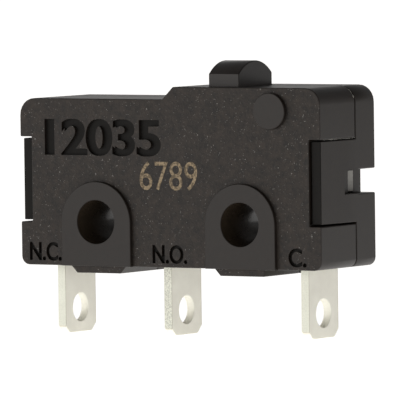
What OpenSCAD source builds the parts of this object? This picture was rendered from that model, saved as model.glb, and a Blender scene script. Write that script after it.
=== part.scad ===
// Pin plunger micro switch: a two-shell housing, three solder terminals and a coil-spring snap mechanism.
// X runs along the housing towards the common terminal, Y to the back, Z up.
// The origin lies midway between the two mounting holes, in the middle of the depth.

/* [Housing] */
// Length between the two end faces
case_length = 19.8; // [19.6:0.1:22]
// Depth between the two broad faces
case_depth = 5.9; // [5.8:0.1:8]
// Height of the top above the mounting holes
case_top = 7.65; // [7.5:0.05:9]
// Depth of the bottom below the mounting holes
case_bottom = 2.5; // [2.4:0.05:3.2]
// Drop from the top to the low shoulder beside the plunger
shoulder_drop = 0.7; // [0.3:0.05:0.8]
// Where the high part of the top begins, from the middle of the housing
shoulder_x = 0.3; // [-1:0.1:0.6]
// Thickness of the top, bottom and broad walls
wall = 0.8; // [0.6:0.05:0.9]
// Radius of the two top corners
top_corner_r = 0.95; // [0.5:0.05:1.2]
// Radius of the two bottom corners
bottom_corner_r = 0.5; // [0.2:0.05:0.8]
// Distance of the joint between the shells behind the middle of the depth
split_y = 0.9; // [0.5:0.05:1.1]

/* [Mounting] */
// Distance between the two mounting holes
hole_pitch = 9.5; // [9:0.1:10]
// Diameter of the mounting holes
hole_d = 2.45; // [2.2:0.05:2.6]
// Wall of the tubes that carry the mounting holes through the housing
tube_wall = 0.6; // [0.4:0.05:0.65]
// Radius of the raised pad around each hole
pad_r = 2.28; // [1.9:0.02:2.4]
// Height of the raised pads above the broad faces
pad_height = 0.25; // [0.1:0.05:0.4]
// Height of the two feet under the bottom
foot_height = 0.4; // [0.2:0.05:0.6]
// Half the width of each foot at its sole
foot_half = 1.45; // [1:0.05:1.6]
// Slope of the feet's sides, measured along the sole
foot_chamfer = 0.37; // [0.1:0.01:0.5]
// Radius of the round moulding boss on the front
boss_r = 1.02; // [0.6:0.02:1.2]
// Distance of the boss below the top
boss_drop = 1.3; // [1.2:0.05:1.6]
// Distance of the boss from the right end
boss_inset = 3.18; // [2.4:0.02:3.6]

/* [Snap-on tongues] */
// Top of the tongues above the mounting holes
tongue_top = 4.77; // [4:0.01:5.2]
// Bottom of the tongue notches below the mounting holes
tongue_bottom = 0.05; // [0:0.01:0.6]
// Depth of the notches that the tongues lie in
notch_depth = 0.76; // [0.6:0.02:0.8]
// Gap above and below each tongue
tongue_gap = 0.1; // [0.05:0.01:0.2]
// Distance of the tongue's outer face below the end face
tongue_inset = 0.15; // [0.05:0.01:0.25]
// Distance of the tongue's tip behind the front face
tongue_recess = 0.2; // [0.1:0.05:0.6]
// Height of the latch window in each tongue
latch_height = 1.35; // [1:0.05:1.6]
// Bottom of the latch window above the mounting holes
latch_z = 1.62; // [1.2:0.02:2.2]
// Depth of the latch window below the end face
latch_depth = 0.93; // [0.88:0.01:0.98]

/* [Terminals] */
// Thickness of the terminal blades
terminal_t = 0.5; // [0.4:0.05:0.5]
// Width of the terminal blades
terminal_w = 3.2; // [2.8:0.1:3.3]
// Reach of the terminals below the mounting holes
terminal_reach = 6.45; // [5.8:0.05:9]
// Diameter of the solder holes
solder_hole_d = 1.6; // [1:0.05:1.8]
// Distance of the solder holes from the tips
solder_hole_inset = 1.4; // [1.3:0.05:1.6]
// Chamfer on the tips of the terminals
tip_chamfer = 0.42; // [0.2:0.02:0.6]
// Distance of the common terminal from the right end
common_inset = 1.9; // [1.85:0.01:2]
// Position of the normally open terminal from the middle of the housing
no_x = -1; // [-1.5:0.05:0]
// Distance of the normally closed terminal from the left end
nc_inset = 1.8; // [1.75:0.01:2]

/* [Plunger] */
// Position of the plunger from the middle of the housing
plunger_x = 2.97; // [2.7:0.01:3.2]
// Length of the plunger along the housing
plunger_length = 1.96; // [1.6:0.02:2.2]
// Width of the plunger across the housing
plunger_w = 3.55; // [3:0.05:3.6]
// Height of the plunger's crown above the top of the housing
plunger_rise = 1.42; // [1.2:0.02:1.8]
// Height of the crown above its shoulders
crown_rise = 0.72; // [0.4:0.02:0.8]

/* [Mechanism] */
// Thickness of the contact heads
contact_t = 0.35; // [0.2:0.01:0.4]
// Radius of the contact heads
contact_r = 0.65; // [0.5:0.01:0.7]
// Opening between the contacts
contact_gap = 0.5; // [0.3:0.02:0.6]
// Thickness of the contact arm
arm_t = 0.25; // [0.15:0.01:0.3]
// Width of the contact arm
arm_w = 2.6; // [2.4:0.05:2.8]
// Thickness of the plunger lever
lever_t = 0.3; // [0.2:0.01:0.35]
// Height of the plunger lever above the contact arm
lever_lift = 1.575; // [1.5:0.01:1.65]
// Height of the spring's hook on the lever above the contact arm
hook_lift = 0.55; // [0.4:0.01:0.6]
// Wire diameter of the snap spring
wire_d = 0.18; // [0.12:0.01:0.22]
// Mean radius of the snap spring's coils
coil_r = 0.45; // [0.35:0.01:0.5]
// Number of coils in the snap spring
coil_turns = 12; // [8:1:12]

/* [Clearances] */
// Clearance between the plunger and its opening
slide_gap = 0.08; // [0.04:0.01:0.12]
// Clearance between fixed pieces that fit together
fit_gap = 0.05; // [0.02:0.01:0.08]
// Clearance between pieces that press on each other
touch_gap = 0.02; // [0.01:0.005:0.04]

/* [Hidden] */
$fn = 48;

half_length = case_length / 2;
front_y = -case_depth / 2;
back_y = case_depth / 2;
low_top = case_top - shoulder_drop;
hole_x = hole_pitch / 2;
tube_r = hole_d / 2 + tube_wall;
floor_z = -case_bottom + wall;
// A wall that follows a 45 degree step moves sideways by this share of its thickness
step_shift = tan(22.5);
// Cuts run this far past the surface that they open
past = 1;

common_x = half_length - common_inset;
nc_x = nc_inset - half_length;
half_t = terminal_t / 2;
// The cavity leaves room behind the common terminal for the lever's hook
hook_room = 0.4;
cavity_left = nc_x - half_t - fit_gap;
cavity_right = common_x + half_t + hook_room;

// Heights of the contact stack, from the tube below it upwards
no_limb_z = tube_r + fit_gap;
no_face = no_limb_z + terminal_t + contact_t;
arm_z = no_face + contact_gap + contact_t;
nc_face = arm_z + arm_t + contact_t;
nc_limb_z = nc_face + contact_t;
contact_room = 0.65;
contact_x = nc_x + half_t + contact_r + contact_room;
shank_r = contact_r * 0.55;
tail_t = 0.15;
tail_spread = 0.12;
head_chamfer = 0.08;

// The arm rocks on a knife edge in the common terminal's groove
groove_depth = 0.15;
arm_mid = arm_z + arm_t / 2;
knife_x = common_x - half_t + groove_depth - fit_gap;
arm_half = arm_w / 2;
rail_w = 0.5;
contact_to_hook = 2.25;
arm_hook_x = contact_x + contact_to_hook;
arm_root = 1.9;
neck_margin = 0.15;
taper_run = 0.4;

// The lever rocks on the lower edge of the common terminal's window
lever_z = arm_mid + lever_lift;
lever_half = 1;
plunger_to_limb = 2.42;
lever_hook_x = plunger_x - plunger_to_limb;
lever_hook_z = arm_mid + hook_lift;

// Each end of the spring is a loop through a hole, round a narrow bar of the piece it pulls
hook_r = wire_d / 2 + 0.19;
hook_hole_r = wire_d / 2 + 0.11;
hook_bar = 0.1;
tab_half = 0.7;

crown_z = case_top + plunger_rise;
flange_side = 0.4;
flange_end = 0.2;
flange_t = 0.6;
ceiling_z = case_top - wall;

latch_wall = half_length - latch_depth;
ledge_step = 0.23;
latch_ledge = latch_wall + ledge_step;
finger_reach = 1.05;
finger_end = split_y + finger_reach;
finger_t = 0.3;
finger_in = latch_wall - finger_t;

// Ribs that hold the terminals
rib_t = 0.4;
rib_height = 1.6;
rib_top = floor_z + rib_height;

housing_colour = "#3b3936";
tin_colour = "#d6d3c4";
brass_colour = "#c2a25a";
spring_colour = "#b9b9b4";
silver_colour = "#dcdcd8";

// Extrudes an outline in X and Z from one depth to another
module along_y(y0, y1) {
    translate([0, y1, 0])
        rotate([90, 0, 0])
            linear_extrude(y1 - y0)
                children();
}

// Extrudes an outline in Y and Z from one length to another
module along_x(x0, x1) {
    translate([x0, 0, 0])
        rotate([90, 0, 90])
            linear_extrude(x1 - x0)
                children();
}

// A box between two corners
module block(low, high) {
    translate(low)
        cube(high - low);
}

// The waste outside a rounded corner, at the origin with the solid to the left and below
module corner_waste(r) {
    difference() {
        translate([-r, -r])
            square(r + past);
        translate([-r, -r])
            circle(r);
    }
}

// Outline of the housing seen from the front, with its 45 degree step
module case_outline() {
    difference() {
        polygon([
            [-half_length, -case_bottom],
            [half_length, -case_bottom],
            [half_length, case_top],
            [shoulder_x, case_top],
            [shoulder_x - shoulder_drop, low_top],
            [-half_length, low_top]
        ]);
        translate([half_length, case_top])
            corner_waste(top_corner_r);
        translate([-half_length, low_top])
            mirror([1, 0])
                corner_waste(top_corner_r);
        translate([half_length, -case_bottom])
            mirror([0, 1])
                corner_waste(bottom_corner_r);
        translate([-half_length, -case_bottom])
            rotate(180)
                corner_waste(bottom_corner_r);
    }
}

// Outline of the hollow inside, one wall within the housing
module cavity_outline() {
    polygon([
        [cavity_left, floor_z],
        [cavity_right, floor_z],
        [cavity_right, ceiling_z],
        [shoulder_x + wall * step_shift, ceiling_z],
        [shoulder_x - shoulder_drop + wall * step_shift, low_top - wall],
        [cavity_left, low_top - wall]
    ]);
}

// Outline of one raised pad: a half round over a straight leg
module pad_outline(x) {
    translate([x, 0])
        circle(pad_r);
    translate([x - pad_r, -case_bottom])
        square([2 * pad_r, case_bottom]);
}

// Outline of one foot, with a slope on its left and one of its own on its right
module foot_outline(x, right_slope) {
    polygon([
        [x - foot_half - foot_chamfer, -case_bottom + fit_gap],
        [x - foot_half, -case_bottom - foot_height],
        [x + foot_half, -case_bottom - foot_height],
        [x + foot_half + right_slope, -case_bottom + fit_gap]
    ]);
}

// Both feet, as ribs from one depth to another
module feet(y0, y1) {
    along_y(y0, y1)
        foot_outline(-hole_x, foot_chamfer);
    along_y(y0, y1)
        foot_outline(hole_x, 0);
}

// Both raised pads, from one depth to another
module pads(y0, y1) {
    for (x = [-hole_x, hole_x])
        along_y(y0, y1)
            pad_outline(x);
}

// The two tubes that carry the mounting holes across the cavity
module tubes(y0, y1) {
    for (x = [-hole_x, hole_x])
        along_y(y0, y1)
            translate([x, 0])
                circle(tube_r);
}

// The two mounting holes, right through the switch
module mounting_holes() {
    for (x = [-hole_x, hole_x])
        along_y(front_y - pad_height - past, back_y + pad_height + past)
            translate([x, 0])
                circle(hole_d / 2);
}

// Openings in the floor for the terminals
module terminal_slots() {
    for (x = [nc_x, no_x, common_x])
        block(
            [x - half_t - fit_gap, -terminal_w / 2 - fit_gap, -case_bottom - past],
            [x + half_t + fit_gap, terminal_w / 2 + fit_gap, floor_z + past]
        );
}

// Opening in the top for the plunger
module plunger_opening() {
    block(
        [plunger_x - plunger_length / 2 - slide_gap, -plunger_w / 2 - slide_gap, ceiling_z - past],
        [plunger_x + plunger_length / 2 + slide_gap, plunger_w / 2 + slide_gap, case_top + past]
    );
}

// Ribs on a broad wall that hold the terminals upright, from one depth to another
module terminal_ribs(y0, y1) {
    for (x = [no_x, common_x])
        block(
            [x - half_t - fit_gap - rib_t, y0, floor_z - fit_gap],
            [x - half_t - fit_gap, y1, rib_top]
        );
    for (x = [nc_x, no_x, common_x])
        block(
            [x + half_t + fit_gap, y0, floor_z - fit_gap],
            [x + half_t + fit_gap + rib_t, y1, rib_top]
        );
}

// Everything that happens at the right end happens mirrored at the left end
module both_ends() {
    children();
    mirror([1, 0, 0])
        children();
}

// The notch in each end of the front case that a tongue of the cover lies in
module tongue_notch() {
    block(
        [half_length - notch_depth, front_y - past, -tongue_bottom],
        [half_length + past, split_y + past, tongue_top]
    );
}

// A springy finger of the front case with a barb that holds the cover
module latch_finger() {
    translate([0, 0, latch_z + tongue_gap])
        linear_extrude(latch_height - 2 * tongue_gap)
            polygon([
                [finger_in, split_y - past],
                [finger_in, finger_end],
                [latch_ledge - fit_gap, finger_end],
                [latch_ledge - fit_gap, finger_end - 0.1],
                [latch_wall - touch_gap, split_y + 0.35],
                [latch_wall - touch_gap, split_y - past]
            ]);
}

module front_case() {
    color(housing_colour)
    difference() {
        union() {
            difference() {
                union() {
                    along_y(front_y, split_y)
                        case_outline();
                    pads(front_y - pad_height, front_y + wall);
                    feet(front_y, split_y);
                    along_y(front_y - pad_height, front_y + wall)
                        translate([half_length - boss_inset, case_top - boss_drop])
                            circle(boss_r);
                }
                along_y(front_y + wall, split_y + past)
                    cavity_outline();
                both_ends()
                    tongue_notch();
                terminal_slots();
                plunger_opening();
            }
            tubes(front_y + wall / 2, split_y);
            terminal_ribs(front_y + wall / 2, front_y + wall + 0.8);
            both_ends()
                latch_finger();
        }
        mounting_holes();
    }
}

// A tongue of the cover, which lies in the notch at the right end
module tongue() {
    x0 = half_length - notch_depth + fit_gap;
    block(
        [x0, front_y + tongue_recess, -tongue_bottom + tongue_gap],
        [half_length - tongue_inset, split_y, tongue_top - tongue_gap]
    );
    block(
        [x0, 0, -tongue_bottom + tongue_gap],
        [half_length, split_y + wall, tongue_top - tongue_gap]
    );
}

// The window in each tongue and the pocket behind it for the finger of the front case
module latch_window(cavity_end) {
    block(
        [latch_ledge, -0.3, latch_z],
        [half_length + past, back_y + past, latch_z + latch_height]
    );
    block(
        [latch_wall, split_y + 0.3, latch_z],
        [half_length + past, back_y + past, latch_z + latch_height]
    );
    block(
        [cavity_end - fit_gap, split_y - past, latch_z],
        [latch_wall, finger_end + 0.12, latch_z + latch_height]
    );
}

module back_cover() {
    color(housing_colour)
    difference() {
        union() {
            difference() {
                union() {
                    along_y(split_y, back_y)
                        case_outline();
                    pads(back_y - wall, back_y + pad_height);
                    feet(split_y, back_y);
                    both_ends()
                        tongue();
                }
                along_y(split_y - past, back_y - wall)
                    cavity_outline();
                terminal_slots();
                plunger_opening();
            }
            tubes(split_y, back_y - wall / 2);
            terminal_ribs(back_y - wall - 0.8, back_y - wall / 2);
        }
        latch_window(cavity_right);
        mirror([1, 0, 0])
            latch_window(-cavity_left);
        mounting_holes();
    }
}

// Outline of the plunger's head seen from the end: a rectangle under an arc
module plunger_outline() {
    half_w = plunger_w / 2;
    crown_r = (half_w * half_w + crown_rise * crown_rise) / (2 * crown_rise);
    intersection() {
        translate([0, crown_z - crown_r])
            circle(crown_r, $fn = 96);
        translate([-half_w, ceiling_z - flange_t])
            square([plunger_w, crown_z]);
    }
}

module plunger() {
    nose_r = 0.4;
    nose_z = lever_z + lever_t + touch_gap + nose_r;
    color(housing_colour)
    union() {
        along_x(plunger_x - plunger_length / 2, plunger_x + plunger_length / 2)
            plunger_outline();
        block(
            [
                plunger_x - plunger_length / 2 - flange_side,
                -plunger_w / 2 - flange_end,
                ceiling_z - fit_gap - flange_t
            ],
            [
                plunger_x + plunger_length / 2 + flange_side,
                plunger_w / 2 + flange_end,
                ceiling_z - fit_gap
            ]
        );
        along_y(-lever_half, lever_half) {
            translate([plunger_x, nose_z])
                circle(nose_r);
            translate([plunger_x - nose_r, nose_z])
                square([2 * nose_r, ceiling_z - flange_t - nose_z]);
        }
    }
}

// Outline of a solder blade in Y and Z, with chamfered tip corners and a shoulder inside the floor
module blade_outline(top) {
    half_w = terminal_w / 2;
    shoulder = 0.35;
    difference() {
        union() {
            polygon([
                [-half_w, -terminal_reach + tip_chamfer],
                [-half_w + tip_chamfer, -terminal_reach],
                [half_w - tip_chamfer, -terminal_reach],
                [half_w, -terminal_reach + tip_chamfer],
                [half_w, floor_z + touch_gap],
                [-half_w, floor_z + touch_gap]
            ]);
            translate([-half_w - shoulder, floor_z + touch_gap])
                square([terminal_w + 2 * shoulder, 0.7]);
            translate([-arm_half, floor_z])
                square([arm_w, top - floor_z]);
        }
        translate([0, -terminal_reach + solder_hole_inset])
            circle(solder_hole_d / 2);
    }
}

// A flat limb on top of a riser, bent towards one side, with a hole for its contact rivet
module contact_limb(x, side, z0, reach) {
    bend_r = 0.3;
    difference() {
        along_y(-arm_half, arm_half)
            difference() {
                translate([min(x - side * half_t, reach), z0])
                    square([abs(reach - x + side * half_t), terminal_t]);
                translate([x - side * half_t, z0 + terminal_t])
                    mirror([side > 0 ? 1 : 0, 0])
                        corner_waste(bend_r);
            }
        translate([contact_x, 0, z0 - past])
            cylinder(h = terminal_t + 2 * past, r = shank_r + touch_gap);
    }
}

// A contact rivet whose head stands on a limb, with its shank and spread tail beyond the limb
module rivet_contact(limb_t) {
    translate([0, 0, limb_t])
        cylinder(h = contact_t - head_chamfer, r = contact_r);
    translate([0, 0, limb_t + contact_t - head_chamfer])
        cylinder(h = head_chamfer, r1 = contact_r, r2 = contact_r - head_chamfer);
    translate([0, 0, -tail_t])
        cylinder(h = limb_t + tail_t + touch_gap, r = shank_r);
    translate([0, 0, -tail_t])
        cylinder(h = tail_t, r = shank_r + tail_spread);
}

module common_terminal() {
    window_low = lever_z - touch_gap;
    window_high = lever_z + lever_t + 0.15;
    color(tin_colour)
    difference() {
        along_x(common_x - half_t, common_x + half_t)
            blade_outline(window_high + 0.5);
        block(
            [common_x - half_t - past, -tab_half - fit_gap, window_low],
            [common_x + half_t + past, tab_half + fit_gap, window_high]
        );
        along_y(-arm_half - past, arm_half + past)
            polygon([
                [common_x - half_t - past, arm_mid - 0.17 - past],
                [common_x - half_t + groove_depth, arm_mid],
                [common_x - half_t - past, arm_mid + 0.17 + past]
            ]);
    }
}

module no_terminal() {
    color(tin_colour)
    union() {
        along_x(no_x - half_t, no_x + half_t)
            blade_outline(no_limb_z + fit_gap);
        contact_limb(no_x, -1, no_limb_z, contact_x - contact_r);
    }
}

module nc_terminal() {
    color(tin_colour)
    union() {
        along_x(nc_x - half_t, nc_x + half_t)
            blade_outline(nc_limb_z + fit_gap);
        contact_limb(nc_x, 1, nc_limb_z, contact_x + contact_r);
    }
}

module no_contact() {
    color(silver_colour)
    translate([contact_x, 0, no_limb_z])
        rivet_contact(terminal_t);
}

module nc_contact() {
    color(silver_colour)
    translate([contact_x, 0, nc_limb_z + terminal_t])
        mirror([0, 0, 1])
            rivet_contact(terminal_t);
}

module contact_arm() {
    neck_half = contact_r + neck_margin;
    window_left = arm_hook_x + hook_bar;
    window_right = knife_x - arm_root;
    color(brass_colour)
    union() {
        translate([0, 0, arm_z])
            linear_extrude(arm_t)
                difference() {
                    union() {
                        translate([contact_x, 0])
                            circle(neck_half);
                        polygon([
                            [contact_x, -neck_half],
                            [arm_hook_x - taper_run, -arm_half],
                            [knife_x - arm_t, -arm_half],
                            [knife_x - arm_t, arm_half],
                            [arm_hook_x - taper_run, arm_half],
                            [contact_x, neck_half]
                        ]);
                    }
                    translate([contact_x, 0])
                        circle(shank_r + touch_gap);
                    translate([arm_hook_x - hook_r, 0])
                        circle(hook_hole_r);
                    translate([window_left, -arm_half + rail_w])
                        square([window_right - window_left, arm_w - 2 * rail_w]);
                }
        // The knife edge
        along_y(-arm_half, arm_half)
            polygon([
                [knife_x - arm_t, arm_z],
                [knife_x, arm_mid],
                [knife_x - arm_t, arm_z + arm_t]
            ]);
        // The rails are stiffened by turned-up edges
        for (side = [-1, 1])
            block(
                [window_left, side * (arm_half - 0.075) - 0.075, arm_z],
                [window_right, side * (arm_half - 0.075) + 0.075, arm_z + arm_t + 0.3]
            );
    }
}

module moving_contact() {
    color(silver_colour)
    translate([contact_x, 0, arm_z]) {
        head_t = contact_t - touch_gap;
        translate([0, 0, arm_t])
            cylinder(h = head_t - head_chamfer, r = contact_r);
        translate([0, 0, arm_t + head_t - head_chamfer])
            cylinder(h = head_chamfer, r1 = contact_r, r2 = contact_r - head_chamfer);
        translate([0, 0, -head_t + head_chamfer])
            cylinder(h = head_t - head_chamfer, r = contact_r);
        translate([0, 0, -head_t])
            cylinder(h = head_chamfer, r1 = contact_r - head_chamfer, r2 = contact_r);
        translate([0, 0, -touch_gap])
            cylinder(h = arm_t + 2 * touch_gap, r = shank_r);
    }
}

module plunger_lever() {
    back_x = common_x + half_t + 0.04;
    color(brass_colour)
    difference() {
        union() {
            // The plate that the plunger presses
            block(
                [lever_hook_x, -lever_half, lever_z],
                [common_x - half_t - 0.15, lever_half, lever_z + lever_t]
            );
            // The tab through the common terminal's window, turned down behind it
            block(
                [common_x - half_t - 0.3, -tab_half, lever_z],
                [back_x + 0.2, tab_half, lever_z + lever_t]
            );
            block(
                [back_x, -tab_half, lever_z - 0.5],
                [back_x + 0.2, tab_half, lever_z + lever_t]
            );
            // The limb that carries the spring's hook
            block(
                [lever_hook_x, -0.4, lever_hook_z - hook_bar],
                [lever_hook_x + lever_t, 0.4, lever_z + lever_t]
            );
        }
        along_x(lever_hook_x - past, lever_hook_x + lever_t + past)
            translate([0, lever_hook_z + hook_r])
                circle(hook_hole_r);
    }
}

// Points of the snap spring's wire along its own X axis: a hook, the coils and a hook
function hook_arc(x, side, steps) = [
    for (i = [0:steps])
        let (a = 90 + side * (260 - 260 * i / steps))
            [x + hook_r * cos(a), 0, hook_r * sin(a)]
];
function coil_points(x0, x1, turns, steps) = [
    for (i = [0:turns * steps])
        let (a = 360 * i / steps)
            [x0 + (x1 - x0) * i / (turns * steps), -coil_r * sin(a), coil_r * cos(a)]
];
function reversed(list) = [for (i = [len(list) - 1:-1:0]) list[i]];
function unit(v) = v / norm(v);
function heading(path, i) = unit(path[min(i + 1, len(path) - 1)] - path[max(i - 1, 0)]);
function squared(v, t) = unit(v - (v * t) * t);

// Sweeps a round wire along a path, keeping its section from twisting
module wire(path, r, sides) {
    count = len(path);
    normals = [
        for (i = 0, n = squared([0, 1, 0], heading(path, 0)); i < count;
            i = i + 1, n = i < count ? squared(n, heading(path, i)) : n)
            n
    ];
    points = [
        for (i = [0:count - 1], k = [0:sides - 1])
            let (n = normals[i], b = cross(heading(path, i), n), a = 360 * k / sides)
                path[i] + r * (cos(a) * n + sin(a) * b)
    ];
    walls = [
        for (i = [0:count - 2], k = [0:sides - 1])
            let (k2 = (k + 1) % sides)
                [i * sides + k, (i + 1) * sides + k, (i + 1) * sides + k2, i * sides + k2]
    ];
    start = [for (k = [0:sides - 1]) k];
    finish = [for (k = [sides - 1:-1:0]) (count - 1) * sides + k];
    polyhedron(points, concat([start], walls, [finish]));
}

module snap_spring() {
    from = [arm_hook_x, 0, arm_mid];
    to = [lever_hook_x + lever_t / 2, 0, lever_hook_z];
    span = norm(to - from);
    tilt = asin((to.z - from.z) / span);
    shank = 0.75;
    path = concat(
        hook_arc(0, 1, 10),
        coil_points(shank, span - shank, coil_turns, 16),
        reversed(hook_arc(span, -1, 10))
    );
    color(spring_colour)
    translate(from)
        rotate([0, -tilt, 0])
            wire(path, wire_d / 2, 8);
}

front_case();
back_cover();
plunger();
common_terminal();
no_terminal();
nc_terminal();
no_contact();
nc_contact();
contact_arm();
moving_contact();
plunger_lever();
snap_spring();
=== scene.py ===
from math import cos, pi, radians, sin, tau

import bmesh
import bpy
import numpy as np
from mathutils import Matrix, Vector


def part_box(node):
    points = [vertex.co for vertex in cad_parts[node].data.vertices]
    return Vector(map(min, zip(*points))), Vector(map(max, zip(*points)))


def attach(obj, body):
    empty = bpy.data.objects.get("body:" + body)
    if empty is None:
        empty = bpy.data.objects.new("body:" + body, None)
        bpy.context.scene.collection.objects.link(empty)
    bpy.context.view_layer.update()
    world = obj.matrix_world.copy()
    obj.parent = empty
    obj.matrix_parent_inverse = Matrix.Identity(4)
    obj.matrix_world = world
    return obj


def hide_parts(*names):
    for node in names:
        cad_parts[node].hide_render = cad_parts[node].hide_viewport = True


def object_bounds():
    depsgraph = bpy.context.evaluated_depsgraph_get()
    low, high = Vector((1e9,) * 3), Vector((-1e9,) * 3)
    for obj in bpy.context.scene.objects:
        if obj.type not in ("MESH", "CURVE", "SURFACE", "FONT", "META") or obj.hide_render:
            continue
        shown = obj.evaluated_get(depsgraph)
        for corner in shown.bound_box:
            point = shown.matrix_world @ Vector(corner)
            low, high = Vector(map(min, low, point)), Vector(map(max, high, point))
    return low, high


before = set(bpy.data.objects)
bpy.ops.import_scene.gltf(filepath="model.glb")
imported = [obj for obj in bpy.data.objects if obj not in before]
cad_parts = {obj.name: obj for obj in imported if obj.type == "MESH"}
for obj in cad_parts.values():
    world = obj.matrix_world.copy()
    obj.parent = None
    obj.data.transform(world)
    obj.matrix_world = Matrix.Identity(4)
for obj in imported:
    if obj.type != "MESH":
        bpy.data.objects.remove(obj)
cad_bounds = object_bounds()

# ---------------------------------------------------------------------------
# Camera
# A long lens, a little above the housing and well round to its right-hand end,
# so that the front, the right end and the edge of each terminal show.
# ---------------------------------------------------------------------------
eye = Vector((0.23238, -0.37591, 0.02285))
yaw = radians(31.7)
pitch = radians(2.81)
roll = radians(-0.72)
forward = Vector((-sin(yaw) * cos(pitch), cos(yaw) * cos(pitch), -sin(pitch)))
level_right = Vector((cos(yaw), sin(yaw), 0))
level_up = level_right.cross(forward)
right = cos(roll) * level_right + sin(roll) * level_up
up = cos(roll) * level_up - sin(roll) * level_right
lens = bpy.data.cameras.new("long_lens")
lens.sensor_width = 36
lens.lens = 706.05
lens.clip_start = 0.01
lens.clip_end = 20
camera = bpy.data.objects.new("camera", lens)
turn = Matrix((right, up, -forward)).transposed()
camera.matrix_world = Matrix.Translation(eye) @ turn.to_4x4()
bpy.context.scene.collection.objects.link(camera)
bpy.context.scene.camera = camera
bpy.context.scene.view_settings.view_transform = "Standard"

# ---------------------------------------------------------------------------
# Floor and light
# A white sheet under the switch and a white surround down to eye level, as in a
# light tent. The tent is dim overhead and beyond the right-hand end.
# ---------------------------------------------------------------------------
floor_z = cad_bounds[0][2]
floor_half = 3.0
glow_level = 0.95
dimmest_share = 0.28
floor_mesh = bpy.data.meshes.new("floor")
floor_corners = np.array([[-1, -1], [1, -1], [1, 1], [-1, 1]]) * floor_half
floor_points = np.column_stack([floor_corners, np.full(4, floor_z)])
floor_mesh.from_pydata(floor_points.tolist(), [], [(0, 1, 2, 3)])
floor = bpy.data.objects.new("floor", floor_mesh)
bpy.context.scene.collection.objects.link(floor)
dim_side = (0.9, 0.436, 0.0)


def dimming(tree, place, reach):
    """A factor that is 1 all round and falls to the dimmest share towards the dim side. The place divided by
    reach, taken along the dim side, is the measure, and the fall is smooth from 0.25 to 0.8 of it."""
    along = tree.nodes.new("ShaderNodeVectorMath")
    along.operation = "DOT_PRODUCT"
    along.inputs[1].default_value = tuple(share / reach for share in dim_side)
    fall = tree.nodes.new("ShaderNodeMapRange")
    fall.interpolation_type = "SMOOTHSTEP"
    fall.inputs["From Min"].default_value = 0.25
    fall.inputs["From Max"].default_value = 0.8
    fall.inputs["To Min"].default_value = 1.0
    fall.inputs["To Max"].default_value = dimmest_share
    tree.links.new(place, along.inputs[0])
    tree.links.new(along.outputs["Value"], fall.inputs["Value"])
    return fall.outputs["Result"]


def ramp(tree, source, *stops):
    """A colour between stops, each a place from 0 to 1 and a colour, read off at the value of source."""
    blend = tree.nodes.new("ShaderNodeValToRGB")
    held = blend.color_ramp.elements
    for number, (place, colour) in enumerate(stops):
        stop = held[number] if number < 2 else held.new(place)
        stop.position = place
        stop.color = (*colour, 1)
    tree.links.new(source, blend.inputs["Fac"])
    return blend.outputs["Color"]


sheet = bpy.data.materials.new("white_sheet")
sheet.use_nodes = True
nodes, links = sheet.node_tree.nodes, sheet.node_tree.links
nodes.clear()
paper = nodes.new("ShaderNodeBsdfDiffuse")
paper.inputs["Color"].default_value = (0.7, 0.7, 0.7, 1)
glow = nodes.new("ShaderNodeEmission")
glow.inputs["Color"].default_value = (1, 0.985, 0.965, 1)
where = nodes.new("ShaderNodeTexCoord")
level = nodes.new("ShaderNodeMath")
level.operation = "MULTIPLY"
level.inputs[1].default_value = glow_level
both = nodes.new("ShaderNodeAddShader")
out = nodes.new("ShaderNodeOutputMaterial")
links.new(dimming(sheet.node_tree, where.outputs["Object"], 0.3), level.inputs[0])
links.new(level.outputs[0], glow.inputs["Strength"])
links.new(paper.outputs[0], both.inputs[0])
links.new(glow.outputs[0], both.inputs[1])
links.new(both.outputs[0], out.inputs["Surface"])
floor_mesh.materials.append(sheet)

tent = bpy.data.worlds.new("light_tent")
bpy.context.scene.world = tent
tent.use_nodes = True
nodes, links = tent.node_tree.nodes, tent.node_tree.links
nodes.clear()
where = nodes.new("ShaderNodeTexCoord")
split = nodes.new("ShaderNodeSeparateXYZ")
shine = nodes.new("ShaderNodeBackground")
out = nodes.new("ShaderNodeOutputWorld")
links.new(where.outputs["Generated"], split.inputs[0])
surround = ramp(tent.node_tree, split.outputs["Z"], (0.12, (1.1, 1.08, 1.06)), (0.45, (0.17, 0.17, 0.17)))
links.new(surround, shine.inputs["Color"])
links.new(dimming(tent.node_tree, where.outputs["Generated"], 1.0), shine.inputs["Strength"])
links.new(shine.outputs[0], out.inputs["Surface"])

panel = bpy.data.lights.new("front_panel", "AREA")
panel.shape = "RECTANGLE"
panel.size = 0.4
panel.size_y = 0.25
panel.energy = 0.36
panel.color = (1, 0.98, 0.95)
lamp = bpy.data.objects.new("front_panel", panel)
lamp_at = Vector((-0.35, -0.5, 0.1))
lamp.matrix_world = Matrix.Translation(lamp_at) @ lamp_at.to_track_quat("Z", "Y").to_matrix().to_4x4()
bpy.context.scene.collection.objects.link(lamp)

# ---------------------------------------------------------------------------
# Front shell
# The deep half of the housing, moulded in black glass-filled plastic. Its broad
# face has a spark-eroded grain, and its raised pads and round boss are smooth.
# It is worked out in millimetres, as the other moulded pieces are.
# ---------------------------------------------------------------------------
mm = 0.001
shell_low, shell_high = [np.array(corner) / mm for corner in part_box("front_case")]
cover_high = np.array(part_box("back_cover")[1]) / mm
half_length = shell_high[0]
case_top = shell_high[2]
top_step = 0.7
low_top = case_top - top_step
foot_z = shell_low[2]
foot_height = 0.4
case_bottom = foot_z + foot_height
pad_front = shell_low[1]
pad_height = 0.25
front_y = pad_front + pad_height
back_step = 0.08
back_y = cover_high[1] - pad_height + back_step
split_y = 0.9
wall = 0.8
hole_x = 4.75
hole_r = 1.225
tube_wall = 0.6
tube_r = hole_r + tube_wall
pad_r = 2.28
foot_half = 1.45
foot_slope = 0.37
notch_depth = 0.76
notch_x = half_length - notch_depth
notch_low = -0.05
notch_high = 4.77
seam_gap = 0.045
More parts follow.
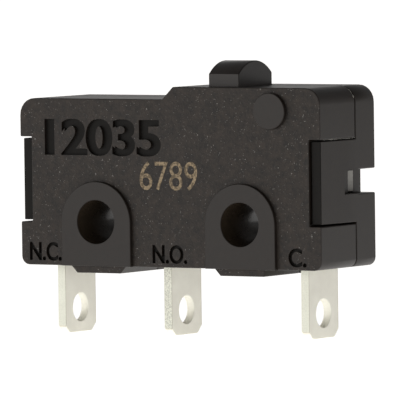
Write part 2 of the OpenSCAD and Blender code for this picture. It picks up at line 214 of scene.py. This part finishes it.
crisp = 0.06
end_round = 0.95
low_round = 0.5
small_round = 0.08


def rounded(corners, steps=6):
    """Rounds the corners of a closed outline. Each row of corners is x, z and a radius. With d1 and d2 the
    directions into and out of a corner and a the turn between them, the arc starts radius * tan(|a| / 2)
    before the corner, and its points lie a radius from the centre, at equal shares of the turn."""
    corners = np.asarray(corners, float)
    points, radius = corners[:, :2], corners[:, 2]
    into = points - np.roll(points, 1, 0)
    into /= np.linalg.norm(into, axis=1)[:, None]
    away = np.roll(into, -1, 0)
    turn = np.arctan2(into[:, 0] * away[:, 1] - into[:, 1] * away[:, 0], (into * away).sum(1))
    side = np.sign(turn) * radius
    start = points - into * (radius * np.tan(np.abs(turn) / 2))[:, None]
    centre = start + side[:, None] * np.column_stack([-into[:, 1], into[:, 0]])
    share = turn[:, None] * np.linspace(0, 1, steps + 1)
    heading_x = into[:, :1] * np.cos(share) - into[:, 1:] * np.sin(share)
    heading_z = into[:, :1] * np.sin(share) + into[:, 1:] * np.cos(share)
    arcs = centre[:, None] + side[:, None, None] * np.stack([heading_z, -heading_x], 2)
    path = arcs.reshape(-1, 2)
    apart = np.linalg.norm(path - np.roll(path, 1, 0), axis=1) > 1e-5
    return path[apart]


def slab(name, loop, y0, y1, edge0, edge1, steps=4):
    """A plate with rounded edges. A quarter round is carried along the closed loop: at angle t it lies
    edge * (1 - sin t) inside the loop and edge * (1 - cos t) behind the face, and both faces are filled."""
    before = loop - np.roll(loop, 1, 0)
    after = np.roll(before, -1, 0)
    before = before / np.linalg.norm(before, axis=1)[:, None]
    after = after / np.linalg.norm(after, axis=1)[:, None]
    inward = np.column_stack([-(before + after)[:, 1], (before + after)[:, 0]])
    inward /= np.maximum((inward * inward).sum(1) / 2, 0.5)[:, None]
    t = np.linspace(0, pi / 2, steps + 1)
    insets = np.concatenate([edge0 * (1 - np.sin(t)), (edge1 * (1 - np.sin(t)))[::-1]])
    depths = np.concatenate([y0 + edge0 * (1 - np.cos(t)), (y1 - edge1 * (1 - np.cos(t)))[::-1]])
    flat = loop[None] + inward[None] * insets[:, None, None]
    rings, count = len(insets), len(loop)
    y = np.repeat(depths[:, None], count, 1)
    points = np.stack([flat[:, :, 0], y, flat[:, :, 1]], 2).reshape(-1, 3)
    grid = np.arange(rings * count).reshape(rings, count)
    beside = np.roll(grid, -1, 1)
    walls = np.stack([grid[:-1], grid[1:], beside[1:], beside[:-1]], 2).reshape(-1, 4)
    ends = [grid[0].tolist(), grid[-1][::-1].tolist()]
    return solid(name, points, walls.tolist() + ends)


def solid(name, points, faces):
    """A closed mesh from points and faces, merged and turned to face outwards."""
    mesh = bpy.data.meshes.new(name)
    mesh.from_pydata(points.tolist(), [], faces)
    work = bmesh.new()
    work.from_mesh(mesh)
    bmesh.ops.remove_doubles(work, verts=work.verts, dist=1e-4)
    bmesh.ops.recalc_face_normals(work, faces=work.faces)
    work.to_mesh(mesh)
    work.free()
    piece = bpy.data.objects.new(name, mesh)
    bpy.context.scene.collection.objects.link(piece)
    return piece


def turned(name, profile, x, z, count=72):
    """A solid turned about the line along Y through x, z. Each row of the profile is a radius and a y, and at
    angle a its point lies radius * cos a across from the line and radius * sin a up. The ends are closed."""
    profile = np.asarray(profile, float)
    a = np.arange(count) * tau / count
    ring_x = x + profile[:, :1] * np.cos(a)
    ring_z = z + profile[:, :1] * np.sin(a)
    ring_y = np.repeat(profile[:, 1:], count, 1)
    points = np.stack([ring_x, ring_y, ring_z], 2).reshape(-1, 3)
    grid = np.arange(len(points)).reshape(len(profile), count)
    beside = np.roll(grid, -1, 1)
    walls = np.stack([grid[:-1], grid[1:], beside[1:], beside[:-1]], 2).reshape(-1, 4)
    ends = [grid[0].tolist(), grid[-1][::-1].tolist()]
    return solid(name, points, walls.tolist() + ends)


def brick(name, low, high, edge=0.0):
    """A block between two corners. Its ends are rounded by edge, and its edges along Y by a little more, so
    that the inner corner of the end's rounding still has a radius."""
    r = edge * 1.3
    corners = [(low[0], low[2], r), (high[0], low[2], r), (high[0], high[2], r), (low[0], high[2], r)]
    return slab(name, rounded(corners), low[1], high[1], edge, edge)


def join(piece, tools, operation):
    """Adds tools to a piece or cuts them out of it, and removes them."""
    for tool in tools:
        step = piece.modifiers.new("join", "BOOLEAN")
        step.operation = operation
        step.solver = "EXACT"
        step.object = tool
        graph = bpy.context.evaluated_depsgraph_get()
        made = bpy.data.meshes.new_from_object(piece.evaluated_get(graph))
        piece.modifiers.clear()
        old = piece.data
        piece.data = made
        made.name = old.name
        bpy.data.meshes.remove(old)
        bpy.data.meshes.remove(tool.data)


def lettering(words, left, width, base, height, y0, y1, thicken=0.0):
    """Solid lettering on the front, from depth y0 to y1. Each point keeps its share of the text's own box,
    and that share of the width and of the height is its place from the left and from the base."""
    curve = bpy.data.curves.new(words, "FONT")
    curve.body = words
    curve.offset = thicken
    curve.extrude = 0.5
    curve.resolution_u = 6
    text = bpy.data.objects.new(words, curve)
    bpy.context.scene.collection.objects.link(text)
    graph = bpy.context.evaluated_depsgraph_get()
    mesh = bpy.data.meshes.new_from_object(text.evaluated_get(graph))
    bpy.data.objects.remove(text)
    flat = np.zeros(len(mesh.vertices) * 3)
    mesh.vertices.foreach_get("co", flat)
    flat = flat.reshape(-1, 3)
    low, high = flat.min(0), flat.max(0)
    share = (flat - low) / (high - low)
    across, deep, up_high = share[:, 0], share[:, 2], share[:, 1]
    points = np.column_stack([left + width * across, y1 - (y1 - y0) * deep, base + height * up_high])
    faces = [list(polygon.vertices) for polygon in mesh.polygons]
    bpy.data.meshes.remove(mesh)
    return solid(words, points, faces)


def settle(piece, sharp=35):
    """Sets a finished piece to metres and gives it smooth faces with crisp edges."""
    mesh = piece.data
    mesh.transform(Matrix.Scale(mm, 4))
    mesh.shade_smooth()
    mesh.set_sharp_from_angle(angle=radians(sharp))
    flow = piece.modifiers.new("even_normals", "WEIGHTED_NORMAL")
    flow.keep_sharp = True
    flow.weight = 100


end_corners = [
    (half_length, notch_low, small_round),
    (notch_x, notch_low, 0.1),
    (notch_x, notch_high, 0.06),
    (half_length, notch_high, small_round),
]
foot_corners = [
    (-hole_x - foot_half - foot_slope, case_bottom, small_round),
    (-hole_x - foot_half, foot_z, small_round),
    (-hole_x + foot_half, foot_z, small_round),
    (-hole_x + foot_half + foot_slope, case_bottom, small_round),
    (hole_x - foot_half - foot_slope, case_bottom, small_round),
    (hole_x - foot_half, foot_z, small_round),
    (hole_x + foot_half, foot_z, small_round),
    (hole_x + foot_half, case_bottom, small_round),
]
slope_high, slope_low, slope_round = 0.3, -0.4, 0.12
top_corners = [
    (half_length, case_top, end_round),
    (slope_high, case_top, slope_round),
    (slope_low, low_top, slope_round),
    (-half_length, low_top, end_round),
]
left_end = [(-x, z, r) for x, z, r in reversed(end_corners)]
shell_outline = rounded(
    [(-half_length, case_bottom, low_round)]
    + foot_corners
    + [(half_length, case_bottom, low_round)]
    + end_corners
    + top_corners
    + left_end
)
cavity_left, cavity_right = -8.4, 8.65
cavity_slope_high, cavity_slope_low = 0.63, -0.07
cavity = rounded(
    [
        (cavity_left, case_bottom + wall, 0.1),
        (cavity_right, case_bottom + wall, 0.1),
        (cavity_right, case_top - wall, 0.2),
        (cavity_slope_high, case_top - wall, 0.2),
        (cavity_slope_low, low_top - wall, 0.2),
        (cavity_left, low_top - wall, 0.2),
    ]
)
terminal_x = [-8.1, -1.0, 8.0]
slot_half_x, slot_half_y = 0.3, 1.65
plunger_low, plunger_high = [np.array(corner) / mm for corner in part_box("plunger")]
stem_left, stem_right = 1.99, 3.97
stem_half = 1.8
slide_gap = 0.06


def pad(x, y0, y1, edge0, edge1):
    """A raised pad. Its outline is half a circle of radius pad_r over the hole, at angles from 0 to pi, with
    straight sides down to the bottom."""
    a = np.linspace(0, pi, 41)
    arch = np.column_stack([x + pad_r * np.cos(a), pad_r * np.sin(a)])
    leg = np.array([[x - pad_r, case_bottom], [x + pad_r, case_bottom]])
    return slab("pad", np.concatenate([arch, leg]), y0, y1, edge0, edge1)


def openings():
    """The waste of the three terminal slots and the plunger's opening."""
    slots = []
    for x in terminal_x:
        low = (x - slot_half_x, -slot_half_y, case_bottom - 1)
        high = (x + slot_half_x, slot_half_y, case_bottom + wall + 0.5)
        slots.append(brick("slot", low, high))
    low = (stem_left - slide_gap, -stem_half - slide_gap, case_top - wall - 0.5)
    high = (stem_right + slide_gap, stem_half + slide_gap, case_top + 1)
    return slots + [brick("opening", low, high)]


def holes():
    """The waste of the two mounting holes, flared a little at both faces."""
    flare = 0.07
    face = pad_front - 0.01
    profile = [
        (hole_r + 1, face - 1),
        (hole_r + flare, face),
        (hole_r + flare * 0.3, face + flare * 0.3),
        (hole_r, face + flare),
        (hole_r, -face - flare),
        (hole_r + flare * 0.3, -face - flare * 0.3),
        (hole_r + flare, -face),
        (hole_r + 1, -face + 1),
    ]
    return [turned("hole", profile, x, 0) for x in (-hole_x, hole_x)]


front_shell = slab("front_shell", shell_outline, front_y, split_y - seam_gap, crisp, 0.05)
join(front_shell, [slab("hollow", cavity, front_y + wall, split_y + 1, 0.0, 0.0)], "DIFFERENCE")
join(front_shell, [pad(x, pad_front, front_y + 0.3, 0.05, 0.0) for x in (-hole_x, hole_x)], "UNION")
boss_x, boss_z = half_length - 3.18, case_top - 1.3
boss_profile = [(0.97, pad_front), (1.0, pad_front + 0.015), (1.02, pad_front + 0.05), (1.02, front_y + 0.3)]
join(front_shell, [turned("boss", boss_profile, boss_x, boss_z)], "UNION")
tube_profile = [(tube_r, front_y + 0.4), (tube_r, split_y - seam_gap)]
join(front_shell, [turned("tube", tube_profile, x, 0) for x in (-hole_x, hole_x)], "UNION")
join(front_shell, holes() + openings(), "DIFFERENCE")
engraving_depth = 0.2
engraved = front_y + engraving_depth
above = front_y - 0.5
thicker = 0.02
nudge = 0.003


def mark(words, left, width, base, height, bold):
    """The waste of one engraved mark, cut twice, bold to the left and to the right of its place and a nudge
    higher the second time, so that its strokes come out bold."""
    cuts = []
    narrower = width - 2 * bold
    for shift in (-bold, bold):
        start = left + bold + shift
        cuts.append(lettering(words, start, narrower, base, height, above, engraved, thicker))
        base += nudge
    return cuts


marks = mark("N.C.", -9.35, 2.15, -2.25, 1.05, 0.02)
marks += mark("N.O.", -1.15, 2.3, -2.28, 1.05, 0.02)
marks += mark("C.", 7.76, 1.18, -2.32, 1.05, 0.02)
marks += mark("12035", -8.25, 7.75, 3.72, 2.08, 0.1)
join(front_shell, marks, "DIFFERENCE")
settle(front_shell)
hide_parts("front_case")
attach(front_shell, "housing")


def bare(name, roughness):
    """A new material of even roughness: its node tree, its surface and its object coordinates go with it."""
    made = bpy.data.materials.new(name)
    made.use_nodes = True
    surface = made.node_tree.nodes["Principled BSDF"]
    surface.inputs["Roughness"].default_value = roughness
    return made, made.node_tree, surface, made.node_tree.nodes.new("ShaderNodeTexCoord")


def noise(tree, place, scale, detail=2, roughness=0.5):
    """Noise fixed to the piece, with scale waves to the metre."""
    cloud = tree.nodes.new("ShaderNodeTexNoise")
    cloud.inputs["Scale"].default_value = scale
    cloud.inputs["Detail"].default_value = detail
    cloud.inputs["Roughness"].default_value = roughness
    tree.links.new(place.outputs["Object"], cloud.inputs["Vector"])
    return cloud.outputs["Fac"]


def raise_by(tree, surface, height, strength, distance):
    """Lifts the surface by height, where a height of 1 stands for the distance."""
    lift = tree.nodes.new("ShaderNodeBump")
    lift.inputs["Strength"].default_value = strength
    lift.inputs["Distance"].default_value = distance
    tree.links.new(height, lift.inputs["Height"])
    tree.links.new(lift.outputs["Normal"], surface.inputs["Normal"])


def black_plastic(name, colour, roughness, grain, mottle, speckle):
    """Black glass-filled plastic. Fine noise lifts the surface by grain and clouds its tone by mottle, and
    the highest points of a second, finer noise are paler flecks, as strong as speckle says."""
    made, tree, surface, place = bare(name, roughness)
    surface.inputs["Specular IOR Level"].default_value = 0.4
    cloud = noise(tree, place, 2500, 8, 0.8)
    pit = noise(tree, place, 9000, 3)
    fleck = noise(tree, place, 9000, 2, 0.8)
    darker = tuple(c * (1 - mottle) for c in colour)
    paler = tuple(c * (1 + mottle) for c in colour)
    tone = ramp(tree, cloud, (0.35, darker), (0.65, paler))
    peak = ramp(tree, fleck, (0.66, (0, 0, 0)), (0.76, (speckle, speckle, speckle)))
    mix = tree.nodes.new("ShaderNodeMix")
    mix.data_type = "RGBA"
    mix.inputs["B"].default_value = (0.32, 0.31, 0.29, 1)
    tree.links.new(peak, mix.inputs["Factor"])
    tree.links.new(tone, mix.inputs["A"])
    tree.links.new(mix.outputs["Result"], surface.inputs["Base Color"])
    raise_by(tree, surface, pit, grain, 0.00003)
    return made


plastic = black_plastic("smooth_black", (0.0135, 0.0095, 0.007), 0.43, 0.15, 0.2, 0.0)
grained = black_plastic("grained_black", (0.0175, 0.0122, 0.0088), 0.55, 1.0, 0.75, 1.0)


def finish_where(piece, finish, low, high, side, least=0.25):
    """Gives a finish to the faces that lie between two corners, in millimetres, and look along side in Y, so
    that their normal times side is over least. With a side of 0 it takes the faces that look across Y."""
    mesh = piece.data
    mesh.materials.append(finish)
    count = len(mesh.polygons)
    centre = np.zeros(count * 3)
    normal = np.zeros(count * 3)
    index = np.zeros(count, np.int32)
    mesh.polygons.foreach_get("center", centre)
    mesh.polygons.foreach_get("normal", normal)
    mesh.polygons.foreach_get("material_index", index)
    centre = centre.reshape(-1, 3) / mm
    inside = ((centre > low) & (centre < high)).all(1)
    towards = normal.reshape(-1, 3)[:, 1]
    chosen = inside & (towards * side > least if side else np.abs(towards) < least)
    index[chosen] = len(mesh.materials) - 1
    mesh.polygons.foreach_set("material_index", index)


def two_finishes(piece, face_y, side):
    """Gives a shell the smooth finish, and the grain to its broad face, at face_y and looking along side."""
    piece.data.materials.clear()
    piece.data.materials.append(plastic)
    finish_where(piece, grained, (-20, face_y - 0.02, -20), (20, face_y + 0.02, 20), side, 0.9)


two_finishes(front_shell, front_y, -1)
# Painted shade: the floors of the engraved marks and the tongue tips, set back in their recesses, get a much
# darker base colour that stands in for the shade there, as well as less shine.
polished_and_shaded = black_plastic("polished_and_shaded_black", (0.005, 0.004, 0.003), 0.6, 0.05, 0.2, 0.0)
polished_and_shaded.node_tree.nodes["Principled BSDF"].inputs["Specular IOR Level"].default_value = 0.2
finish_where(front_shell, polished_and_shaded, (-20, engraved - 0.02, -3), (20, engraved + 0.02, 7), -1)
bore_gloss = black_plastic("bore_gloss", (0.03, 0.022, 0.015), 0.19, 0.05, 0.2, 0.0)


def gloss_bores(piece):
    """Gives the walls of both mounting holes the gloss that the mould's core pins leave."""
    reach = hole_r + 0.03
    for x in (-hole_x, hole_x):
        finish_where(piece, bore_gloss, (x - reach, -4, -reach), (x + reach, 4, reach), 0)


gloss_bores(front_shell)

# ---------------------------------------------------------------------------
# Printed number
# Plain digits marked on the front by laser, in the tan that a laser leaves on
# black plastic. They lie a hair above the grain.
# ---------------------------------------------------------------------------
digits = lettering("6789", -1.93, 3.8, 1.84, 1.62, front_y - 0.006, front_y + 0.02)
digits.name = "laser_number"
settle(digits)
tan, tree, surface, place = bare("laser_tan", 0.8)
tone = ramp(tree, noise(tree, place, 7000), (0.4, (0.12, 0.09, 0.055)), (0.6, (0.33, 0.25, 0.155)))
tree.links.new(tone, surface.inputs["Base Color"])
digits.data.materials.append(tan)
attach(digits, "housing")

# ---------------------------------------------------------------------------
# Back cover
# The shallow half of the housing. A tongue at each end lies in the front shell's
# notch, and a window in the tongue shows the barb that holds the shells together.
# ---------------------------------------------------------------------------
window_low, window_high = 1.62, 2.97
window_depth, ledge_step = 0.93, 0.23
window_x = half_length - window_depth
cover_end = [
    (half_length, window_low, small_round),
    (window_x, window_low, 0.04),
    (window_x, window_high, 0.04),
    (half_length, window_high, small_round),
]
cover_outline = rounded(
    [(-half_length, case_bottom, low_round)]
    + foot_corners
    + [(half_length, case_bottom, low_round)]
    + cover_end
    + top_corners
    + [(-x, z, r) for x, z, r in reversed(cover_end)]
)
tongue_gap = 0.1
tongue_low = notch_low + tongue_gap
tongue_high = notch_high - tongue_gap
tongue_in = notch_x + 0.05
tip_gap = 0.2
tongue_tip = front_y + tip_gap
tip_slope = 0.1
tip_out = half_length - tip_slope
pocket_back = split_y + 1.17


def swapped(piece, order):
    """Turns a piece over by taking its X, Y and Z in another order."""
    rows = [[1.0 if column == source else 0.0 for column in range(4)] for source in (*order, 3)]
    piece.data.transform(Matrix(rows))
    piece.data.flip_normals()
    return piece


def tongue(side):
    """One tongue, on the right for side 1 and on the left for side -1: its plan in X and Y, with an outer
    face that slopes down to the tip, carried up its height."""
    plan = [
        (tongue_in, tongue_tip, 0.06),
        (tip_out, tongue_tip, 0.06),
        (half_length, 0, 0),
        (half_length, split_y + 0.3, 0),
        (tongue_in, split_y + 0.3, 0),
    ]
    if side < 0:
        plan = [(-x, y, r) for x, y, r in plan[::-1]]
    return swapped(slab("tongue", rounded(plan), tongue_low, tongue_high, 0.04, 0.04), (0, 2, 1))


def window(side):
    """The waste of one latch window: a slot in the tongue and the pocket behind it for the barb."""
    ledge = window_x + ledge_step
    outer = sorted((side * ledge, side * (half_length + 1)))
    deep = sorted((side * window_x, side * (half_length + 1)))
    pocket = sorted((side * (cavity_right - 0.05), side * (window_x + 0.01)))
    return [
        brick("slot", (outer[0], -0.3, window_low), (outer[1], back_y + 1, window_high)),
        brick("slot", (deep[0], split_y + 0.3, window_low), (deep[1], back_y + 1, window_high)),
        brick("pocket", (pocket[0], -0.5, window_low), (pocket[1], pocket_back, window_high)),
    ]


back_shell = slab("back_shell", cover_outline, split_y + seam_gap, back_y, 0.05, crisp)
join(back_shell, [slab("hollow", cavity, split_y - 1, back_y - wall, 0.0, 0.0)], "DIFFERENCE")
join(back_shell, [pad(x, back_y - 0.3, cover_high[1], 0.0, 0.05) for x in (-hole_x, hole_x)], "UNION")
tube_profile = [(tube_r, split_y + seam_gap), (tube_r, back_y - 0.4)]
join(back_shell, [turned("tube", tube_profile, x, 0) for x in (-hole_x, hole_x)], "UNION")
join(back_shell, [tongue(1), tongue(-1)], "UNION")
join(back_shell, window(1) + window(-1) + holes() + openings(), "DIFFERENCE")
settle(back_shell)
two_finishes(back_shell, back_y, 1)
# Painted shade: the tongue tip, set back in the notch, gets the darker base colour that stands in for the
# shade in the recess.
finish_where(back_shell, polished_and_shaded, (-20, tongue_tip - 0.1, -1), (20, tongue_tip + 0.1, 6), -1)
gloss_bores(back_shell)
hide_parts("back_cover")
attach(back_shell, "housing")

# ---------------------------------------------------------------------------
# Latch barbs
# A springy finger of the front shell in each latch window. The slope on its barb
# is painted pale, a painted highlight for the light it catches through the window.
# ---------------------------------------------------------------------------
finger_in, finger_out, barb_out = 8.67, 8.95, 9.15
finger_root, slope_start, slope_end, finger_tip = -0.1, 1.25, 1.85, 1.95
finger_gap = 0.1


def barb(side):
    """One finger: its outline in X and Y, carried up the height of the window less a gap at each end."""
    x = np.array([finger_in, finger_in, barb_out, barb_out, finger_out, finger_out]) * side
    y = np.array([finger_root, finger_tip, finger_tip, slope_end, slope_start, finger_root])
    low, high = window_low + finger_gap, window_high - finger_gap
    points = np.concatenate([np.column_stack([x, y, np.full(6, z)]) for z in (low, high)])
    around = np.arange(6)
    beside = (around + 1) % 6
    walls = np.column_stack([around, beside, beside + 6, around + 6]).tolist()
    return solid("barb", points, walls + [around[::-1].tolist(), (around + 6).tolist()])


# Painted highlight: a pale base colour on the barb's slope stands in for the light it catches through the
# window.
barb_highlight = black_plastic("painted_barb_highlight", (0.3, 0.29, 0.27), 0.5, 0.1, 0.15, 0.0)
for name, side in (("right_barb", 1), ("left_barb", -1)):
    finger = barb(side)
    finger.name = name
    settle(finger)
    finger.data.materials.append(plastic)
    finish_where(finger, barb_highlight, (-20, 1.3, 0), (20, 1.8, 6), -1)
    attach(finger, "housing")

# ---------------------------------------------------------------------------
# Moulding flash
# Thin ragged fins of plastic that the mould leaves along its joints: over the
# right-hand tongue and where the seam turns over the top corner.
# ---------------------------------------------------------------------------
sunk = 0.004
thinnest, foot_least, foot_more = 0.005, 0.015, 0.04


def fin(name, path, outward, along, reach, seed):
    """A ragged fin. At each point of the path its section is a triangle: one corner on the path, one that
    lies a seeded random share, squared, of reach outwards, and one a thin step along the surface."""
    path = np.asarray(path, float)
    share = np.random.default_rng(seed).random(len(path)) ** 2
    tip = path + np.asarray(outward) * (thinnest + reach * share)[:, None]
    foot = path + np.asarray(along) * (foot_least + foot_more * np.roll(share, 2))[:, None]
    points = np.stack([path, tip, foot], 1).reshape(-1, 3)
    grid = np.arange(len(points)).reshape(-1, 3)
    beside = np.roll(grid, -1, 1)
    walls = np.stack([grid[:-1], grid[1:], beside[1:], beside[:-1]], 2).reshape(-1, 4)
    return solid(name, points, walls.tolist() + [grid[0].tolist(), grid[-1][::-1].tolist()])


y = np.linspace(front_y + 0.3, split_y - 0.05, 60)
over_tongue = np.column_stack([np.full(60, half_length - sunk), y, np.full(60, notch_high + sunk)])
a = np.linspace(radians(18), radians(80), 40)
turn_x = half_length - end_round + (end_round - sunk) * np.cos(a)
turn_z = case_top - end_round + (end_round - sunk) * np.sin(a)
over_corner = np.column_stack([turn_x, np.full(40, split_y - seam_gap - 0.05), turn_z])
outwards = np.column_stack([np.cos(a), np.zeros(40), np.sin(a)])
pale = black_plastic("flash_pale", (0.35, 0.34, 0.31), 0.5, 0.3, 0.95, 1.0)
fins = [
    fin("tongue_flash", over_tongue, (0.5, 0, -0.85), (-0.5, 0, 0.3), 0.1, 3),
    fin("corner_flash", over_corner, outwards, (0, 1, 0), 0.06, 8),
]
for flash in fins:
    settle(flash)
    flash.data.materials.append(pale)
    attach(flash, "housing")

# ---------------------------------------------------------------------------
# Plunger
# The pin that works the switch, moulded in black plastic with an arched crown and
# flat ends. It slides in the top wall, and a flange below that wall keeps it in.
# The crown's radius is (half width squared + rise squared) / (2 * rise).
# ---------------------------------------------------------------------------
crown_z = plunger_high[2]
crown_rise = 0.72
crown_r = (stem_half**2 + crown_rise**2) / (2 * crown_rise)
flange_gap, flange_t = 0.05, 0.6
flange_top = case_top - wall - flange_gap
flange_low = flange_top - flange_t
arc = np.arcsin(stem_half / crown_r)
a = np.linspace(arc, -arc, 33)
arch = np.column_stack([crown_r * np.sin(a), crown_z - crown_r + crown_r * np.cos(a)])
sides = np.array([[-stem_half, flange_low + 0.2], [stem_half, flange_low + 0.2]])
stem = slab("plunger_pin", np.concatenate([arch, sides]), stem_left, stem_right, 0.05, 0.05)
swapped(stem, (1, 0, 2))
flange_from = (plunger_low[0], plunger_low[1], flange_low)
flange_to = (plunger_high[0], plunger_high[1], flange_top)
flange = brick("flange", flange_from, flange_to, 0.05)
nose_r = 0.4
nose_z = plunger_low[2] + nose_r
stem_x = (stem_left + stem_right) / 2
a = np.linspace(pi, tau, 25)
tip = np.column_stack([stem_x + nose_r * np.cos(a), nose_z + nose_r * np.sin(a)])
root = np.array([[stem_x + nose_r, flange_low + 0.2], [stem_x - nose_r, flange_low + 0.2]])
nose = slab("nose", np.concatenate([tip, root]), -1, 1, 0.04, 0.04)
join(stem, [flange, nose], "UNION")
settle(stem)
stem.data.materials.append(black_plastic("plunger_black", (0.018, 0.013, 0.011), 0.3, 0.1, 0.2, 0.0))
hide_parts("plunger")
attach(stem, "plunger")

# ---------------------------------------------------------------------------
# Terminals
# Blades stamped from brass strip under matte tin plate, pressed into the shells.
# The press rounds their edges a little and leaves the cut edges rougher.
# ---------------------------------------------------------------------------
blade_half = 1.6
edge_band = 0.2
edge_round = 0.05


def tin_plate(name, torn):
    """Matte tin over brass, clouded by noise. Across the blade a ramp of the distance from its middle draws
    the darker line where the face turns over into the cut edge, and torn says how dark the edge's specks
    are."""
    made, tree, surface, place = bare(name, 0.55)
    surface.inputs["Metallic"].default_value = 0.15
    tone = ramp(tree, noise(tree, place, 900, 5), (0.35, (0.93, 0.91, 0.81)), (0.65, (0.99, 0.975, 0.87)))
    axes = tree.nodes.new("ShaderNodeSeparateXYZ")
    off_middle = tree.nodes.new("ShaderNodeMath")
    off_middle.operation = "ABSOLUTE"
    across = tree.nodes.new("ShaderNodeMapRange")
    across.inputs["From Min"].default_value = (blade_half - edge_band) * mm
    across.inputs["From Max"].default_value = blade_half * mm
    tree.links.new(place.outputs["Object"], axes.inputs[0])
    tree.links.new(axes.outputs["Y"], off_middle.inputs[0])
    tree.links.new(off_middle.outputs[0], across.inputs["Value"])
    face, turn_over, cut = (0.62, (1, 1, 1)), (0.84, (0.62, 0.6, 0.55)), (0.985, (0.95, 0.975, 0.95))
    edge = ramp(tree, across.outputs["Result"], face, turn_over, cut)
    broken = tree.nodes.new("ShaderNodeMapRange")
    broken.inputs["From Min"].default_value = 0.42
    broken.inputs["From Max"].default_value = 0.6
    broken.inputs["To Min"].default_value = 1.0
    broken.inputs["To Max"].default_value = 1 - torn
    tree.links.new(noise(tree, place, 13000, 3), broken.inputs["Value"])
    on_edge = tree.nodes.new("ShaderNodeMath")
    on_edge.operation = "GREATER_THAN"
    on_edge.inputs[1].default_value = 0.9
    tree.links.new(across.outputs["Result"], on_edge.inputs[0])
    shaded, speck = tree.nodes.new("ShaderNodeMix"), tree.nodes.new("ShaderNodeMix")
    for product in (shaded, speck):
        product.data_type = "RGBA"
        product.blend_type = "MULTIPLY"
    shaded.inputs["Factor"].default_value = 1
    tree.links.new(tone, shaded.inputs["A"])
    tree.links.new(edge, shaded.inputs["B"])
    tree.links.new(on_edge.outputs[0], speck.inputs["Factor"])
    tree.links.new(shaded.outputs["Result"], speck.inputs["A"])
    tree.links.new(broken.outputs["Result"], speck.inputs["B"])
    tree.links.new(speck.outputs["Result"], surface.inputs["Base Color"])
    raise_by(tree, surface, noise(tree, place, 6000), 0.3, 0.00001)
    return made


clean_tin = tin_plate("clean_tin", 0.06)
torn_tin = tin_plate("torn_tin", 0.3)


def soften(piece, width):
    """Merges a metal node's loose triangles and rounds its edges by width."""
    merge = piece.modifiers.new("merge", "WELD")
    merge.merge_threshold = 1e-7
    edge = piece.modifiers.new("edge", "BEVEL")
    edge.width = width
    edge.segments = 2
    edge.limit_method = "ANGLE"
    edge.angle_limit = radians(35)
    edge.harden_normals = True


plates = {"common_terminal": clean_tin, "no_terminal": torn_tin, "nc_terminal": clean_tin}
for name, plate in plates.items():
    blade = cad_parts[name]
    soften(blade, edge_round * mm)
    blade.data.materials.clear()
    blade.data.materials.append(plate)

# ---------------------------------------------------------------------------
# Mechanism
# The pieces inside the housing keep their own solids and get their real metals:
# copper alloy for the arm and lever, silver for the contacts, steel wire.
# ---------------------------------------------------------------------------


def metal(name, dark, light, roughness, scale):
    """A bare metal whose tone clouds between dark and light, with a fine rolled surface."""
    made, tree, surface, place = bare(name, roughness)
    surface.inputs["Metallic"].default_value = 1.0
    cloud = noise(tree, place, scale)
    tree.links.new(ramp(tree, cloud, (0, dark), (1, light)), surface.inputs["Base Color"])
    raise_by(tree, surface, cloud, 0.2, 0.00001)
    return made


finishes = {
    "contact_arm": metal("copper_alloy", (0.62, 0.36, 0.14), (0.78, 0.5, 0.24), 0.3, 2500),
    "moving_contact": metal("silver", (0.7, 0.7, 0.68), (0.9, 0.9, 0.88), 0.25, 3000),
    "snap_spring": metal("spring_wire", (0.35, 0.35, 0.34), (0.6, 0.6, 0.58), 0.3, 4000),
}
finishes["plunger_lever"] = finishes["contact_arm"]
finishes["no_contact"] = finishes["moving_contact"]
finishes["nc_contact"] = finishes["moving_contact"]
for name, finish in finishes.items():
    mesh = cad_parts[name].data
    mesh.materials.clear()
    mesh.materials.append(finish)
